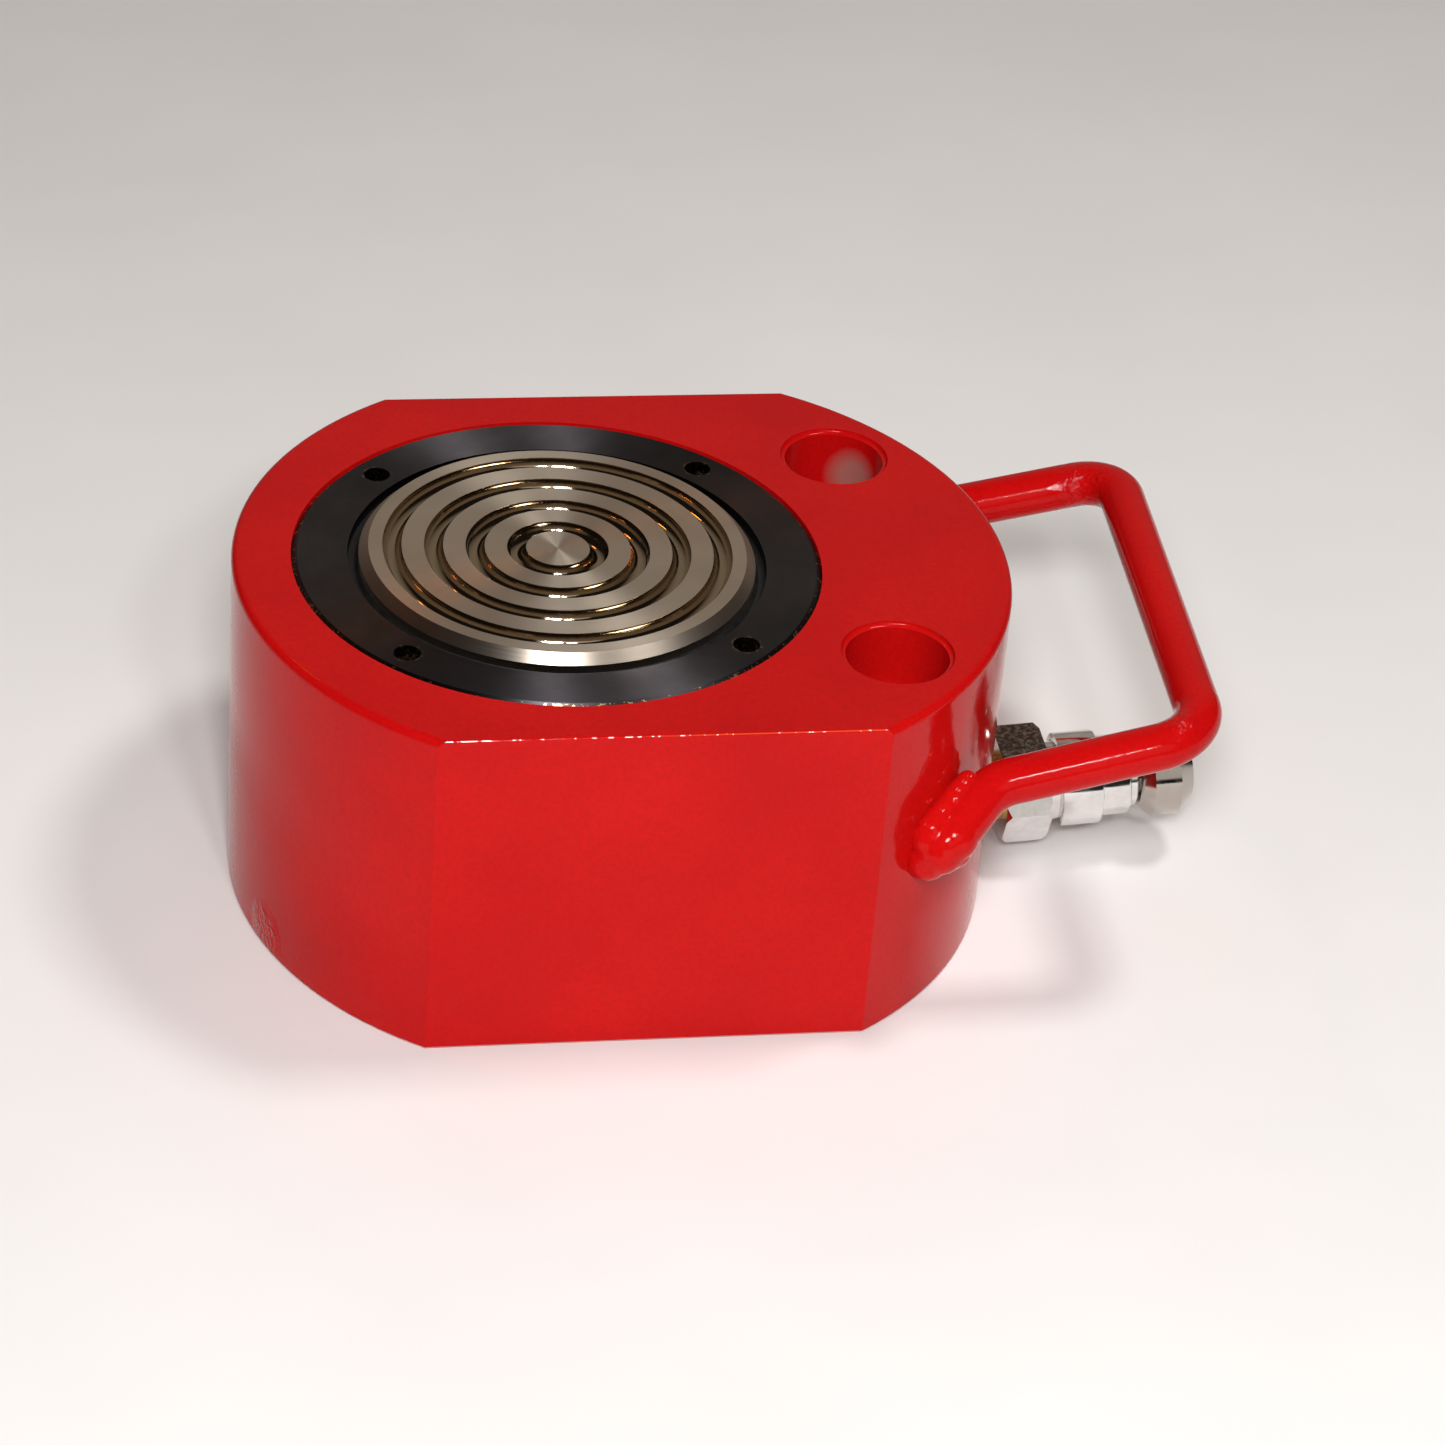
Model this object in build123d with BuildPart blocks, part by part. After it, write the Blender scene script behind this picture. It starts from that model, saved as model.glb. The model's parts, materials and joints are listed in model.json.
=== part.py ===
"""Low-height hydraulic lifting cylinder: flat steel block, grooved plunger, carry handle, hose coupler.

Millimetres, +Z up. The origin is where the plunger's axis meets the base. The coupler and the handle
are on the +X end. The plunger is down, the coupler's sleeve is forward and its dust plug is in.
"""
import os
from math import cos, radians, sin, sqrt, tan

from build123d import *

os.makedirs("parts", exist_ok=True)

# ---- Driving sizes ---------------------------------------------------------------------------
# Body block: two arcs joined by two flats
body_width = 114.0
body_height = 66.0
rear_reach = 58.0               # bore axis to the block's -X end
front_reach = 82.0              # bore axis to the block's +X end
end_radius = 68.0
arc_edge_round = 1.5
flat_edge_round = 0.5
base_edge_bevel = 1.0

# Bore, plunger and stroke
bore_d = 89.0
base_thickness = 10.0
stroke = 16.0
annulus = 9.0                   # bore wall to plunger, where the return springs stand
plunger_proud = 2.0             # plunger's top above the block's top
plunger_bevel = 1.7
flange_thickness = 17.0
flange_relief = 2.5             # bevel under the flange, where the oil enters
groove_count = 4                # concentric grip grooves in the plunger's top
rim_land = 0.8                  # plunger's edge to the outermost groove, in groove pitches
groove_radius = 1.7
groove_wall = 0.7               # straight part of a groove's side above its round bottom

# Plunger packing
seal_groove_depth = 4.8
seal_groove_low = 4.2           # flange's underside to the seal groove
seal_height = 5.3
backup_height = 1.4
wear_groove_depth = 2.4
wear_groove_low = 12.7
wear_height = 2.9

# Gland nut, screwed into the top of the block
gland_step = 3.0                # gland nut's seat beyond the bore, radial
gland_seat_height = 50.0        # shoulder that the nut screws down on
gland_bevel = 1.0
wiper_depth = 4.0
wiper_width = 1.8
wiper_recess = 1.2              # gland nut's top to the wiper's lip
guide_low = 56.5
guide_height = 4.0
guide_width = 2.4
gland_seal_low = 51.0
gland_seal_wire = 2.0
spanner_hole_d = 4.8
spanner_hole_depth = 5.0
spanner_holes = 4

# Return springs, in pockets under the gland nut
spring_count = 8
spring_pocket_d = 6.4
spring_pocket_top = 55.0
spring_outer_d = 5.8
spring_wire_d = 1.0
spring_turns = 7

# Mounting holes: two counterbored holes beside the bore
bolt_x = 56.0
bolt_spacing = 66.5
bolt_hole_d = 13.5
counterbore_d = 18.4
counterbore_depth = 13.0
counterbore_round = 0.85

# Oil port
port_height = 13.15
port_rise = 4.2                 # degrees that the port's axis rises outward
port_depth = 16.0
passage_d = 5.0

# Carry handle: one bent rod
rod_d = 8.5
bar_reach = 112.2               # bore axis to the middle of the grip bar
bar_skew = 1.3                  # rear corner further out, front corner nearer
bar_height = 53.7
bar_half_span = 43.6            # bar's middle to a leg, at the bar
handle_fall = 12.5              # degrees that the legs fall towards the block
corner_radius_front = 9.5
corner_radius_rear = 8.0
knee_radius = 10.0
foot_angle = 49.0               # where a foot's line touches the end arc, in degrees
touch_to_knee = 15.0            # seen from above
foot_short = 5.0                # the foot is cut off before its line touches
foot_height = 39.3

# Welds at the handle's feet
weld_r = 5.8
weld_sink = 2.4                 # rod's middle to the filler's, towards the wall
weld_drop = 0.8
weld_share = 0.8                # share of the foot that is welded
weld_overrun = 4.0
weld_round = 4.5

# Coupler: distances along its axis from the block's wall, then radii
nipple_d = 13.2
nipple_bore_d = 5.0
nipple_engagement = 14.0
nipple_bevel = 0.8
hex_start = 3.8
hex_length = 8.6
hex_across_flats = 19.2
hex_bevel = 0.9
neck_length = 2.3
guide_barrel_r = 7.4
guide_barrel_length = 3.6
barrel_r = 6.2
barrel_end = 30.0
barrel_bevel = 0.5
socket_r = 4.3
chamber_r = 3.6
valve_seat = 20.0
valve_seat_r = 2.4
valve_seat_length = 1.4
sleeve_collar_r = 8.85
sleeve_collar_length = 8.0
sleeve_nose_r = 7.7
sleeve_bevel = 0.6
sleeve_end = 28.2
sleeve_land_length = 3.5
recess_r = 6.95
sleeve_wire_d = 0.6
sleeve_turns = 4
ball_count = 6
ball_r = 1.2
ball_reach = 3.8                # coupler's axis to a ball's inner side
ball_station = 23.6
ring_thickness = 0.7
ring_section = 1.1
poppet_head_r = 3.3
poppet_boss_r = 2.3
poppet_tip_r = 1.5
poppet_head_length = 1.7
poppet_wire_d = 0.6
poppet_turns = 4
plug_head_r = 8.4
plug_head_length = 10.1
plug_back_bevel = 2.3
plug_face_bevel = 2.8
plug_stem_length = 4.0
plug_nose_r = 3.5
plug_nose_length = 4.2
plug_nose_bevel = 0.6
plug_seal_wire = 0.96

# Clearances
running = 0.05                  # radial, between a guided piece and its guide
loose = 0.1                     # between a piece and the recess that holds it
thread = 0.05                   # radial, in the two screwed joints
rod_clearance = 0.2             # radial, plunger to the gland nut's bore
flange_clearance = 0.15         # radial, flange to the bore
stop_gap = 0.3                  # between two pieces that come to a stop

# ---- Sizes that follow -----------------------------------------------------------------------
bore_r = bore_d / 2
rod_r = rod_d / 2
plunger_r = bore_r - annulus
groove_pitch = plunger_r / (groove_count + rim_land)
flange_r = bore_r - flange_clearance
flange_low = base_thickness + stop_gap
flange_top = flange_low + flange_thickness
gland_low = flange_top + stroke + stop_gap
gland_seat_r = bore_r + gland_step
gland_r = gland_seat_r - thread
pilot_r = bore_r - loose
gland_bore_r = plunger_r + rod_clearance
spring_circle_r = (gland_bore_r + pilot_r) / 2
wiper_seat_r = gland_bore_r + wiper_width
spanner_circle_r = (wiper_seat_r + gland_r - gland_bevel) / 2
plunger_top = body_height + plunger_proud

front_centre = front_reach - end_radius
rear_centre = end_radius - rear_reach

hex_end = hex_start + hex_length
sleeve_start = hex_end + neck_length
guide_barrel_end = hex_end + guide_barrel_length
land_end = ball_station + ball_r + 2 * loose
land_start = land_end - sleeve_land_length
ring_start = land_end + stop_gap
poppet_front = valve_seat - loose
poppet_head_start = poppet_front - 1.0 - poppet_head_length
plug_head_start = barrel_end + stop_gap
plug_stem_start = plug_head_start - plug_stem_length
plug_nose_start = plug_stem_start - plug_nose_length

# ---- Placing and profiles --------------------------------------------------------------------
port_slope = radians(port_rise)
coupler_direction = Vector(cos(port_slope), 0, sin(port_slope))
coupler_up = Vector(-sin(port_slope), 0, cos(port_slope))
port_mouth = Vector(front_reach, 0, port_height)
coupler_axis = Axis(port_mouth, coupler_direction)
coupler_profile = Plane(origin=port_mouth, x_dir=coupler_up, z_dir=(0, 1, 0))


def coupler_plane(distance):
    """Plane across the coupler's axis, at a distance from the wall, facing outward."""
    return Plane(port_mouth + coupler_direction * distance, x_dir=coupler_up, z_dir=coupler_direction)


def profile(plane, *corners):
    """Closed outline of (radius, distance along the axis) corners, for turning."""
    with BuildSketch(plane) as outline:
        with BuildLine():
            Polyline(*corners, close=True)
        make_face()
    return outline.sketch


def band(plane, inner, outer, low, high):
    """Rectangular outline of a ring or a turned step."""
    return profile(plane, (inner, low), (outer, low), (outer, high), (inner, high))


def coil(mean_radius, wire_d, length, turns):
    """Compression spring standing on its origin, with its ends inside its length."""
    with BuildPart() as spring:
        with BuildLine(Plane.XY.offset(wire_d / 2)) as helix:
            Helix(pitch=(length - wire_d) / turns, height=length - wire_d, radius=mean_radius)
        with BuildSketch(Plane(origin=helix.line @ 0, z_dir=helix.line % 0)):
            Circle(wire_d / 2)
        sweep(path=helix.line)
    return spring.part


# ---- Body block: two overlapping end discs, cut to the block's width ---------------------------
with BuildPart() as end_disc:
    Cylinder(end_radius, body_height, align=(Align.CENTER, Align.CENTER, Align.MIN))
    fillet(end_disc.edges().group_by(Axis.Z)[-1], radius=arc_edge_round)
    chamfer(end_disc.edges().group_by(Axis.Z)[0], length=base_edge_bevel)

with BuildPart() as width_slab:
    Box(4 * end_radius, body_width, body_height, align=(Align.CENTER, Align.CENTER, Align.MIN))
    long_edges = width_slab.edges().filter_by(Axis.X)
    fillet(long_edges.group_by(Axis.Z)[-1], radius=flat_edge_round)
    chamfer(long_edges.group_by(Axis.Z)[0], length=base_edge_bevel)

# Counterbored bolt hole, as the space it leaves below the block's top, with a rounded mouth
counterbore_r = counterbore_d / 2
mouth_r = counterbore_r + counterbore_round
with BuildPart() as bolt_hole:
    with BuildSketch(Plane.XZ):
        with BuildLine():
            mouth = RadiusArc((mouth_r, 0), (counterbore_r, -counterbore_round), counterbore_round)
            Polyline(
                mouth @ 1,
                (counterbore_r, -counterbore_depth),
                (bolt_hole_d / 2, -counterbore_depth),
                (bolt_hole_d / 2, -body_height - base_edge_bevel),
                (0, -body_height - base_edge_bevel),
                (0, base_edge_bevel),
                (mouth_r, base_edge_bevel),
                mouth @ 0,
            )
        make_face()
    revolve(axis=Axis.Z)

with BuildPart() as cylinder_body:
    with Locations((front_centre, 0, 0), (rear_centre, 0, 0)):
        add(end_disc.part)
    add(width_slab.part, mode=Mode.INTERSECT)

    # Bore, with the gland nut's seat as its counterbore
    with Locations((0, 0, body_height)):
        CounterBoreHole(
            radius=bore_r,
            counter_bore_radius=gland_seat_r,
            counter_bore_depth=body_height - gland_seat_height,
            depth=body_height - base_thickness,
        )
    with Locations((bolt_x, -bolt_spacing / 2, body_height), (bolt_x, bolt_spacing / 2, body_height)):
        add(bolt_hole.part, mode=Mode.SUBTRACT)

    # Oil port and the passage to the bottom of the bore
    with Locations(coupler_plane(loose)):
        CounterBoreHole(
            radius=passage_d / 2,
            counter_bore_radius=nipple_d / 2 + thread,
            counter_bore_depth=port_depth,
            depth=front_reach - bore_r + passage_d / 2,
        )
cylinder_body.part.label = "cylinder_body"
export_step(cylinder_body.part, "parts/cylinder_body.step")

# ---- Carry handle ----------------------------------------------------------------------------
foot_line_r = end_radius + rod_r + running
touch_x = front_centre + foot_line_r * cos(radians(foot_angle))
touch_y = foot_line_r * sin(radians(foot_angle))
foot_x = touch_x + foot_short * sin(radians(foot_angle))
foot_y = touch_y - foot_short * cos(radians(foot_angle))
knee_x = touch_x + touch_to_knee * sin(radians(foot_angle))
knee_y = touch_y - touch_to_knee * cos(radians(foot_angle))


def leg_height(x):
    """Height of the handle's sloping plane at a reach from the bore axis."""
    return bar_height + (x - bar_reach) * tan(radians(handle_fall))


front_corner_x = bar_reach - bar_skew
rear_corner_x = bar_reach + bar_skew
with BuildPart() as carry_handle:
    with BuildLine() as rod_line:
        FilletPolyline(
            (foot_x, -foot_y, foot_height),
            (knee_x, -knee_y, leg_height(knee_x)),
            (front_corner_x, -bar_half_span, leg_height(front_corner_x)),
            (rear_corner_x, bar_half_span, leg_height(rear_corner_x)),
            (knee_x, knee_y, leg_height(knee_x)),
            (foot_x, foot_y, foot_height),
            radius=[knee_radius, corner_radius_front, corner_radius_rear, knee_radius],
        )
    with BuildSketch(Plane(origin=rod_line.line @ 0, z_dir=rod_line.line % 0)):
        Circle(rod_r)
    sweep(path=rod_line.line)
carry_handle.part.label = "carry_handle"
export_step(carry_handle.part, "parts/carry_handle.step")


# ---- Welds: filler metal round each foot, between the rod and the wall -----------------------
def weld_centre(share):
    """Middle of the filler at a share of the way from the foot's end to the knee."""
    foot_end = Vector(foot_x, -foot_y, foot_height)
    knee = Vector(knee_x, -knee_y, leg_height(knee_x))
    spot = foot_end + (knee - foot_end) * share
    inward = Vector(front_centre - spot.X, -spot.Y, 0).normalized()
    return spot + inward * weld_sink - Vector(0, 0, weld_drop)


weld_low = weld_centre(0)
weld_run = weld_centre(weld_share) - weld_low
weld_start = weld_low - weld_run.normalized() * weld_overrun
with BuildPart() as handle_weld_front:
    with Locations(Plane(weld_start, z_dir=weld_run)):
        weld_length = weld_run.length + 2 * weld_overrun
        Cylinder(weld_r, weld_length, align=(Align.CENTER, Align.CENTER, Align.MIN))
    fillet(handle_weld_front.edges().filter_by(GeomType.CIRCLE), radius=weld_round)
    add(cylinder_body.part, mode=Mode.SUBTRACT)
    add(carry_handle.part, mode=Mode.SUBTRACT)
handle_weld_front.part.label = "handle_weld_front"
export_step(handle_weld_front.part, "parts/handle_weld_front.step")

with BuildPart() as handle_weld_rear:
    add(handle_weld_front.part)
    mirror(about=Plane.XZ, mode=Mode.REPLACE)
handle_weld_rear.part.label = "handle_weld_rear"
export_step(handle_weld_rear.part, "parts/handle_weld_rear.step")

# ---- Plunger and its packing -----------------------------------------------------------------
seal_low = flange_low + seal_groove_low
packing_height = seal_height + backup_height + 3 * loose
seal_groove_r = flange_r - seal_groove_depth
wear_low = flange_low + wear_groove_low
wear_groove_r = flange_r - wear_groove_depth
packing_r = bore_r - running
with BuildPart() as piston:
    revolve(
        profile(
            Plane.XZ,
            (0, flange_low),
            (flange_r - flange_relief, flange_low),
            (flange_r, flange_low + flange_relief),
            (flange_r, flange_top),
            (plunger_r, flange_top),
            (plunger_r, plunger_top - plunger_bevel),
            (plunger_r - plunger_bevel, plunger_top),
            (0, plunger_top),
        ),
        axis=Axis.Z,
    )
    seal_groove = band(Plane.XZ, seal_groove_r, bore_r, seal_low, seal_low + packing_height)
    wear_groove = band(Plane.XZ, wear_groove_r, bore_r, wear_low, wear_low + wear_height + 2 * loose)
    revolve([seal_groove, wear_groove], axis=Axis.Z, mode=Mode.SUBTRACT)
    groove_middle = plunger_top - groove_wall
    with BuildSketch(Plane.XZ):
        with Locations(*[(groove_pitch * (i + 1), groove_middle) for i in range(groove_count)]):
            Circle(groove_radius)
            Rectangle(2 * groove_radius, groove_wall, align=(Align.CENTER, Align.MIN))
    revolve(axis=Axis.Z, mode=Mode.SUBTRACT)
piston.part.label = "piston"
export_step(piston.part, "parts/piston.step")

seal_inner_r = seal_groove_r + running
seal_bottom = seal_low + loose
lip_r = (packing_r - seal_inner_r) / 4
with BuildPart() as piston_seal:
    revolve(
        profile(
            Plane.XZ,
            (seal_inner_r, seal_bottom),
            (seal_inner_r + lip_r, seal_bottom),
            (seal_inner_r + 2 * lip_r, seal_bottom + seal_height / 2),
            (seal_inner_r + 3 * lip_r, seal_bottom),
            (packing_r, seal_bottom),
            (packing_r, seal_bottom + seal_height),
            (seal_inner_r, seal_bottom + seal_height),
        ),
        axis=Axis.Z,
    )
piston_seal.part.label = "piston_seal"
export_step(piston_seal.part, "parts/piston_seal.step")

backup_low = seal_bottom + seal_height + loose
with BuildPart() as piston_backup_ring:
    revolve(band(Plane.XZ, seal_inner_r, packing_r, backup_low, backup_low + backup_height), axis=Axis.Z)
piston_backup_ring.part.label = "piston_backup_ring"
export_step(piston_backup_ring.part, "parts/piston_backup_ring.step")

wear_bottom = wear_low + loose
with BuildPart() as piston_wear_ring:
    revolve(
        band(Plane.XZ, wear_groove_r + running, packing_r, wear_bottom, wear_bottom + wear_height),
        axis=Axis.Z,
    )
piston_wear_ring.part.label = "piston_wear_ring"
export_step(piston_wear_ring.part, "parts/piston_wear_ring.step")

# ---- Gland nut and what it holds -------------------------------------------------------------
wiper_low = body_height - wiper_depth
wiper_top = body_height - wiper_recess
guide_seat_r = gland_bore_r + guide_width
gland_seal_top = gland_seal_low + gland_seal_wire + 2 * loose
with BuildPart() as gland_nut:
    revolve(
        profile(
            Plane.XZ,
            (gland_bore_r, gland_low),
            (pilot_r, gland_low),
            (pilot_r, gland_seat_height),
            (gland_r, gland_seat_height),
            (gland_r, body_height - gland_bevel),
            (gland_r - gland_bevel, body_height),
            (wiper_seat_r, body_height),
            (wiper_seat_r, wiper_low),
            (gland_bore_r, wiper_low),
        ),
        axis=Axis.Z,
    )
    guide_groove = band(Plane.XZ, gland_bore_r, guide_seat_r, guide_low, guide_low + guide_height)
    seal_slot = band(Plane.XZ, gland_r - gland_seal_wire, gland_r, gland_seal_low, gland_seal_top)
    revolve([guide_groove, seal_slot], axis=Axis.Z, mode=Mode.SUBTRACT)
    with Locations(Plane.XY.offset(body_height)):
        with PolarLocations(spanner_circle_r, spanner_holes, start_angle=180 / spanner_holes):
            Hole(radius=spanner_hole_d / 2, depth=spanner_hole_depth)
    with BuildSketch(Plane.XY.offset(gland_low)):
        with PolarLocations(spring_circle_r, spring_count, start_angle=180 / spring_count):
            Circle(spring_pocket_d / 2)
    extrude(amount=spring_pocket_top - gland_low, mode=Mode.SUBTRACT)
gland_nut.part.label = "gland_nut"
export_step(gland_nut.part, "parts/gland_nut.step")

seal_wire_r = gland_seal_wire / 2
with BuildPart() as gland_seal:
    with BuildSketch(Plane.XZ):
        with Locations((gland_r - seal_wire_r, (gland_seal_low + gland_seal_top) / 2)):
            Circle(seal_wire_r)
    revolve(axis=Axis.Z)
gland_seal.part.label = "gland_seal"
export_step(gland_seal.part, "parts/gland_seal.step")

wiper_inner = plunger_r + running
wiper_outer = wiper_seat_r - running
wiper_heel = wiper_inner + wiper_width / 3
wiper_shoulder = wiper_top - wiper_depth / 5
with BuildPart() as rod_wiper:
    revolve(
        profile(
            Plane.XZ,
            (wiper_heel, wiper_low),
            (wiper_outer, wiper_low),
            (wiper_outer, wiper_shoulder),
            (wiper_heel, wiper_shoulder),
            (wiper_inner, wiper_top),
            (wiper_inner, (wiper_low + wiper_top) / 2),
        ),
        axis=Axis.Z,
    )
rod_wiper.part.label = "rod_wiper"
export_step(rod_wiper.part, "parts/rod_wiper.step")

with BuildPart() as rod_guide_ring:
    revolve(
        band(Plane.XZ, plunger_r + running, guide_seat_r - running, guide_low + loose,
             guide_low + guide_height - loose),
        axis=Axis.Z,
    )
rod_guide_ring.part.label = "rod_guide_ring"
export_step(rod_guide_ring.part, "parts/rod_guide_ring.step")

spring_room = spring_pocket_top - flange_top - 2 * running
return_coil = coil((spring_outer_d - spring_wire_d) / 2, spring_wire_d, spring_room, spring_turns)
with BuildPart() as return_springs:
    with Locations(Plane.XY.offset(flange_top + running)):
        with PolarLocations(spring_circle_r, spring_count, start_angle=180 / spring_count):
            add(return_coil)
return_springs.part.label = "return_springs"
export_step(return_springs.part, "parts/return_springs.step")

# ---- Coupler ---------------------------------------------------------------------------------
nipple_end = hex_end - stop_gap
nipple_r = nipple_d / 2
with BuildPart() as port_nipple:
    revolve(
        profile(
            coupler_profile,
            (nipple_bore_d / 2, -nipple_engagement),
            (nipple_r - nipple_bevel, -nipple_engagement),
            (nipple_r, -nipple_engagement + nipple_bevel),
            (nipple_r, nipple_end - nipple_bevel),
            (nipple_r - nipple_bevel, nipple_end),
            (nipple_bore_d / 2, nipple_end),
        ),
        axis=coupler_axis,
    )
port_nipple.part.label = "port_nipple"
export_step(port_nipple.part, "parts/port_nipple.step")

hex_corner_r = hex_across_flats / sqrt(3)
seat_end = valve_seat + valve_seat_length
ring_groove_r = barrel_r - ring_section / 2
ring_end = ring_start + ring_thickness + loose
with BuildPart() as coupler_body:
    with BuildSketch(coupler_plane(hex_start)):
        RegularPolygon(radius=hex_across_flats / 2, side_count=6, major_radius=False, rotation=30)
    extrude(amount=hex_length)
    # Corners turned off at both ends of the hexagon
    revolve(
        profile(
            coupler_profile,
            (0, hex_start),
            (hex_corner_r - hex_bevel, hex_start),
            (hex_corner_r, hex_start + hex_bevel),
            (hex_corner_r, hex_end - hex_bevel),
            (hex_corner_r - hex_bevel, hex_end),
            (0, hex_end),
        ),
        axis=coupler_axis,
        mode=Mode.INTERSECT,
    )
    revolve(
        profile(
            coupler_profile,
            (0, hex_end),
            (guide_barrel_r, hex_end),
            (guide_barrel_r, guide_barrel_end),
            (barrel_r, guide_barrel_end),
            (barrel_r, barrel_end - barrel_bevel),
            (barrel_r - barrel_bevel, barrel_end),
            (0, barrel_end),
        ),
        axis=coupler_axis,
    )
    nipple_socket = band(coupler_profile, 0, nipple_r + thread, hex_start, hex_end)
    chamber = band(coupler_profile, 0, chamber_r, hex_end, valve_seat)
    valve_hole = band(coupler_profile, 0, valve_seat_r, valve_seat, seat_end)
    socket = band(coupler_profile, 0, socket_r, seat_end, barrel_end)
    ring_groove = band(coupler_profile, ring_groove_r, barrel_r, ring_start, ring_end)
    for cut in (nipple_socket, chamber, valve_hole, socket, ring_groove):
        revolve(cut, axis=coupler_axis, mode=Mode.SUBTRACT)
    with Locations(coupler_plane(ball_station)):
        with PolarLocations((barrel_r + socket_r) / 2, ball_count):
            Cylinder(ball_r + running, barrel_r, rotation=(0, 90, 0), mode=Mode.SUBTRACT)
coupler_body.part.label = "coupler_body"
export_step(coupler_body.part, "parts/coupler_body.step")

sleeve_step = sleeve_start + sleeve_collar_length
with BuildPart() as coupler_sleeve:
    revolve(
        profile(
            coupler_profile,
            (guide_barrel_r + running, sleeve_start),
            (sleeve_collar_r - sleeve_bevel, sleeve_start),
            (sleeve_collar_r, sleeve_start + sleeve_bevel),
            (sleeve_collar_r, sleeve_step - sleeve_bevel),
            (sleeve_collar_r - sleeve_bevel, sleeve_step),
            (sleeve_nose_r, sleeve_step),
            (sleeve_nose_r, sleeve_end - sleeve_bevel),
            (sleeve_nose_r - sleeve_bevel, sleeve_end),
            (recess_r, sleeve_end),
            (recess_r, land_end),
            (barrel_r + running, land_end),
            (barrel_r + running, land_start),
            (guide_barrel_r + running, land_start),
        ),
        axis=coupler_axis,
    )
coupler_sleeve.part.label = "coupler_sleeve"
export_step(coupler_sleeve.part, "parts/coupler_sleeve.step")

sleeve_spring_room = land_start - guide_barrel_end - 2 * running
sleeve_coil_r = (barrel_r + guide_barrel_r) / 2
sleeve_coil = coil(sleeve_coil_r, sleeve_wire_d, sleeve_spring_room, sleeve_turns)
with BuildPart() as sleeve_spring:
    with Locations(coupler_plane(guide_barrel_end + running)):
        add(sleeve_coil)
sleeve_spring.part.label = "sleeve_spring"
export_step(sleeve_spring.part, "parts/sleeve_spring.step")

with BuildPart() as lock_balls:
    with Locations(coupler_plane(ball_station)):
        with PolarLocations(ball_reach + ball_r, ball_count):
            Sphere(ball_r)
lock_balls.part.label = "lock_balls"
export_step(lock_balls.part, "parts/lock_balls.step")

ring_inner = ring_groove_r + running
with BuildPart() as sleeve_retaining_ring:
    with BuildSketch(coupler_plane(ring_start + running)):
        Circle(ring_inner + ring_section)
        Circle(ring_inner, mode=Mode.SUBTRACT)
        with Locations((0, -ring_inner)):
            Rectangle(ring_section * 2, ring_section * 3, mode=Mode.SUBTRACT)
    extrude(amount=ring_thickness)
sleeve_retaining_ring.part.label = "sleeve_retaining_ring"
export_step(sleeve_retaining_ring.part, "parts/sleeve_retaining_ring.step")

# Poppet valve: closed at rest, pushed in by a hose's nose
poppet_shoulder = poppet_head_start + poppet_head_length
with BuildPart() as poppet:
    revolve(
        profile(
            coupler_profile,
            (0, poppet_head_start - poppet_tip_r),
            (poppet_tip_r, poppet_head_start - poppet_tip_r),
            (poppet_tip_r, poppet_head_start),
            (poppet_head_r, poppet_head_start),
            (poppet_head_r, poppet_shoulder),
            (poppet_boss_r, poppet_shoulder),
            (poppet_boss_r, valve_seat + loose),
            (poppet_tip_r, seat_end - loose),
            (poppet_tip_r, seat_end + loose),
            (0, seat_end + loose),
        ),
        axis=coupler_axis,
    )
poppet.part.label = "poppet"
export_step(poppet.part, "parts/poppet.step")

poppet_seal_r = (poppet_head_r - poppet_boss_r) / 2
with BuildPart() as poppet_seal:
    with BuildSketch(coupler_profile):
        with Locations((poppet_boss_r + poppet_seal_r, poppet_shoulder + poppet_seal_r)):
            Circle(poppet_seal_r)
    revolve(axis=coupler_axis)
poppet_seal.part.label = "poppet_seal"
export_step(poppet_seal.part, "parts/poppet_seal.step")

poppet_spring_room = poppet_head_start - nipple_end - 2 * running
poppet_coil_r = nipple_bore_d / 2 + poppet_wire_d / 2 + loose
poppet_coil = coil(poppet_coil_r, poppet_wire_d, poppet_spring_room, poppet_turns)
with BuildPart() as poppet_spring:
    with Locations(coupler_plane(nipple_end + running)):
        add(poppet_coil)
poppet_spring.part.label = "poppet_spring"
export_step(poppet_spring.part, "parts/poppet_spring.step")

# Dust plug, held in the socket by its own ring
plug_head_end = plug_head_start + plug_head_length
plug_stem_r = socket_r - loose
plug_seal_r = plug_seal_wire / 2
plug_seal_middle = (plug_stem_start + barrel_end) / 2
plug_groove_r = socket_r - plug_seal_wire - 2 * running
with BuildPart() as dust_plug:
    revolve(
        profile(
            coupler_profile,
            (0, plug_nose_start),
            (plug_nose_r - plug_nose_bevel, plug_nose_start),
            (plug_nose_r, plug_nose_start + plug_nose_bevel),
            (plug_nose_r, plug_stem_start),
            (plug_stem_r, plug_stem_start),
            (plug_stem_r, plug_head_start),
            (plug_head_r - plug_back_bevel, plug_head_start),
            (plug_head_r, plug_head_start + plug_back_bevel),
            (plug_head_r, plug_head_end - plug_face_bevel),
            (plug_head_r - plug_face_bevel, plug_head_end),
            (0, plug_head_end),
        ),
        axis=coupler_axis,
    )
    plug_groove = band(
        coupler_profile,
        plug_groove_r,
        plug_stem_r,
        plug_seal_middle - plug_seal_r - loose,
        plug_seal_middle + plug_seal_r + loose,
    )
    revolve(plug_groove, axis=coupler_axis, mode=Mode.SUBTRACT)
dust_plug.part.label = "dust_plug"
export_step(dust_plug.part, "parts/dust_plug.step")

with BuildPart() as plug_o_ring:
    with BuildSketch(coupler_profile):
        with Locations((plug_groove_r + running + plug_seal_r, plug_seal_middle)):
            Circle(plug_seal_r)
    revolve(axis=coupler_axis)
plug_o_ring.part.label = "plug_o_ring"
export_step(plug_o_ring.part, "parts/plug_o_ring.step")
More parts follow.
